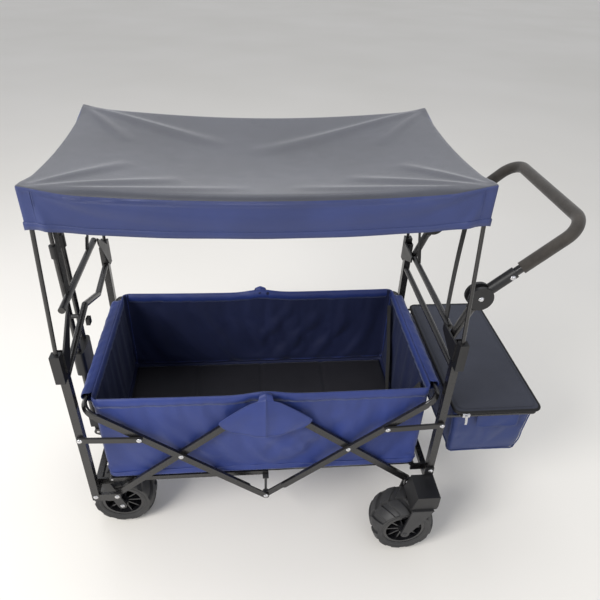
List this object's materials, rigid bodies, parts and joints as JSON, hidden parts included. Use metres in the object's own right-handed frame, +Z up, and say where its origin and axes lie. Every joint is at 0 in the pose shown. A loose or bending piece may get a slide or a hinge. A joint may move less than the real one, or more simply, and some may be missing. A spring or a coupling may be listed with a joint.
{
  "type": "kids pull wagon",
  "caption": "Folding four-wheel wagon: cross-bar frame with a cloth basket and canopy, foam push handle, upright telescopic pull handle and rear storage bag.",
  "frame": {"origin": "on the floor under the middle of the whole wagon", "axes": "+X to the rear, towards the push handle and bag; -X is the front, with the pull handle; +Y to the right side; +Z up"},
  "size_m": [1.245, 0.672, 1.086],
  "materials": {
    "black_frame": "satin powder coat",
    "bright_rivets": "bright plated",
    "black_plastic": "fine grained moulding",
    "tyre_rubber": "matte moulded tread",
    "rim_plastic": "satin moulding",
    "canopy_cloth": "coated polyester weave",
    "basket_cloth": "coated oxford weave",
    "bag_cloth": "coated oxford weave",
    "bag_lid_cloth": "coated oxford weave",
    "webbing": "ribbed polypropylene webbing",
    "mat_cloth": "padded woven cloth",
    "zip_tape": "coil zip and binding tape",
    "grip_foam": "matte closed-cell foam"
  },
  "bodies": {
    "root": {"front_posts": "black_frame", "front_crossbars": "black_frame", "front_brackets": "black_plastic", "front_lugs": "black_frame", "front_rivets": "bright_rivets", "canopy_poles_front": "black_frame", "canopy_straps_front": "webbing", "canopy_fabric": "canopy_cloth", "basket_fabric": "basket_cloth", "floor_mat": "mat_cloth", "hub_flaps": "basket_cloth", "front_forks": "black_frame", "front_axle_bolts": "bright_rivets", "handle_clip": "black_plastic"},
    "front_wheel_left": {"front_tyre_left": "tyre_rubber", "front_rim_left": "rim_plastic"},
    "front_wheel_right": {"front_tyre_right": "tyre_rubber", "front_rim_right": "rim_plastic"},
    "pull_handle": {"pull_handle_tubes": "black_frame", "pull_handle_collars": "black_plastic"},
    "pull_handle_inner": {"pull_handle_loop": "black_frame", "pull_handle_grip": "grip_foam"},
    "scissor_front_inner": {"inner_bars_front": "black_frame", "scissor_rivets_front": "bright_rivets"},
    "scissor_rear_inner": {"inner_bars_rear": "black_frame", "scissor_rivets_rear": "bright_rivets"},
    "scissor_front_outer": {"outer_frame_front": "black_frame", "hub_rivets": "bright_rivets"},
    "scissor_rear_outer": {"outer_frame_rear": "black_frame"},
    "hub_pins": {"hub_pins": "black_plastic"},
    "front_links": {"link_arms_front": "black_frame", "link_rivets_front": "bright_rivets"},
    "rear_links": {"link_arms_rear": "black_frame", "link_rivets_rear": "bright_rivets"},
    "front_rails": {"base_rails_front": "black_frame"},
    "rear_rails": {"base_rails_rear": "black_frame"},
    "rear_frame": {"rear_posts": "black_frame", "rear_crossbars": "black_frame", "rear_brackets": "black_plastic", "rear_lugs": "black_frame", "rear_rivets": "bright_rivets", "canopy_poles_rear": "black_frame", "canopy_straps_rear": "webbing", "seat_belts": "webbing", "caster_housings": "black_plastic", "handle_mounts": "black_plastic", "bag_body": "bag_cloth", "bag_frame": "black_frame", "bag_zip": "zip_tape"},
    "caster_left": {"caster_fork_left": "black_plastic"},
    "caster_right": {"caster_fork_right": "black_plastic"},
    "rear_wheel_left": {"rear_tyre_left": "tyre_rubber", "rear_rim_left": "rim_plastic"},
    "rear_wheel_right": {"rear_tyre_right": "tyre_rubber", "rear_rim_right": "rim_plastic"},
    "push_handle": {"push_handle_arms": "black_plastic", "push_handle_tube": "black_frame", "push_handle_grip": "grip_foam", "push_handle_rivets": "bright_rivets"},
    "bag_lid": {"bag_lid": "bag_lid_cloth"}
  },
  "joints": [
    {"name": "fold", "type": "hinge", "parent": "root", "child": "scissor_front_inner", "pos_m": [-0.48469, 0, 0.20081], "axis": [0, -1, 0], "range_deg": [0, 40.18], "deforming": ["basket_fabric", "canopy_fabric", "floor_mat", "hub_flaps"]},
    {"name": "top_hub_turn", "type": "hinge", "parent": "scissor_front_inner", "child": "scissor_rear_inner", "pos_m": [-0.0905, 0, 0.518], "axis": [0, -1, 0], "range_deg": [-80.68, 0]},
    {"name": "front_crossing_turn", "type": "hinge", "parent": "scissor_front_inner", "child": "scissor_front_outer", "pos_m": [-0.3055, 0, 0.345], "axis": [0, -1, 0], "range_deg": [-80.68, 0]},
    {"name": "rear_crossing_turn", "type": "hinge", "parent": "scissor_rear_inner", "child": "scissor_rear_outer", "pos_m": [0.1245, 0, 0.345], "axis": [0, -1, 0], "range_deg": [0, 80.68]},
    {"name": "rear_foot_turn", "type": "hinge", "parent": "scissor_rear_inner", "child": "rear_frame", "pos_m": [0.30369, 0, 0.20081], "axis": [0, -1, 0], "range_deg": [0, 40.34]},
    {"name": "hub_pin_turn", "type": "hinge", "parent": "scissor_front_outer", "child": "hub_pins", "pos_m": [-0.0905, 0, 0.172], "axis": [0, -1, 0], "range_deg": [0, 40.34]},
    {"name": "front_link_turn", "type": "hinge", "parent": "root", "child": "front_links", "pos_m": [-0.5395, 0, 0.42714], "axis": [0, -1, 0], "range_deg": [0, 60.2]},
    {"name": "rear_link_turn", "type": "hinge", "parent": "rear_frame", "child": "rear_links", "pos_m": [0.3585, 0, 0.42714], "axis": [0, -1, 0], "range_deg": [-60.2, 0]},
    {"name": "front_rail_turn", "type": "hinge", "parent": "root", "child": "front_rails", "pos_m": [-0.4955, 0, 0.243], "axis": [0, -1, 0], "range_deg": [0, 74.93]},
    {"name": "rear_rail_turn", "type": "hinge", "parent": "rear_frame", "child": "rear_rails", "pos_m": [0.3145, 0, 0.243], "axis": [0, -1, 0], "range_deg": [-74.93, 0]},
    {"name": "front_wheel_spin_left", "type": "hinge", "parent": "root", "child": "front_wheel_left", "pos_m": [-0.4955, -0.137, 0.088], "axis": [0, 1, 0], "continuous": true},
    {"name": "front_wheel_spin_right", "type": "hinge", "parent": "root", "child": "front_wheel_right", "pos_m": [-0.4955, 0.137, 0.088], "axis": [0, 1, 0], "continuous": true},
    {"name": "caster_swivel_left", "type": "hinge", "parent": "rear_frame", "child": "caster_left", "pos_m": [0.3275, -0.277, 0.19], "axis": [0, 0, 1], "continuous": true},
    {"name": "rear_wheel_spin_left", "type": "hinge", "parent": "caster_left", "child": "rear_wheel_left", "pos_m": [0.2905, -0.277, 0.088], "axis": [0, 1, 0], "continuous": true},
    {"name": "caster_swivel_right", "type": "hinge", "parent": "rear_frame", "child": "caster_right", "pos_m": [0.3275, 0.277, 0.19], "axis": [0, 0, 1], "continuous": true},
    {"name": "rear_wheel_spin_right", "type": "hinge", "parent": "caster_right", "child": "rear_wheel_right", "pos_m": [0.2905, 0.277, 0.088], "axis": [0, 1, 0], "continuous": true},
    {"name": "push_handle_tilt", "type": "hinge", "parent": "rear_frame", "child": "push_handle", "pos_m": [0.4015, 0, 0.782], "axis": [0, -1, 0], "range_deg": [-95, 45]},
    {"name": "bag_lid_hinge", "type": "hinge", "parent": "rear_frame", "child": "bag_lid", "pos_m": [0.392, 0, 0.458], "axis": [0, -1, 0], "range_deg": [0, 85]},
    {"name": "pull_handle_swing", "type": "hinge", "parent": "root", "child": "pull_handle", "pos_m": [-0.5755, 0, 0.217], "axis": [0, -1, 0], "range_deg": [0, 95]},
    {"name": "pull_handle_slide", "type": "slide", "parent": "pull_handle", "child": "pull_handle_inner", "axis": [0, 0, 1], "range_m": [0, 0.2]}
  ],
  "couplings": [
    {"joint": "top_hub_turn", "follows": "fold", "ratio": -2},
    {"joint": "front_crossing_turn", "follows": "fold", "ratio": -2},
    {"joint": "rear_crossing_turn", "follows": "fold", "ratio": 2},
    {"joint": "rear_foot_turn", "follows": "fold", "ratio": 1},
    {"joint": "hub_pin_turn", "follows": "fold", "ratio": 1},
    {"joint": "front_link_turn", "follows": "fold", "ratio": 1.4925},
    {"joint": "rear_link_turn", "follows": "fold", "ratio": -1.4925},
    {"joint": "front_rail_turn", "follows": "fold", "ratio": 1.8575},
    {"joint": "rear_rail_turn", "follows": "fold", "ratio": -1.8575}
  ]
}
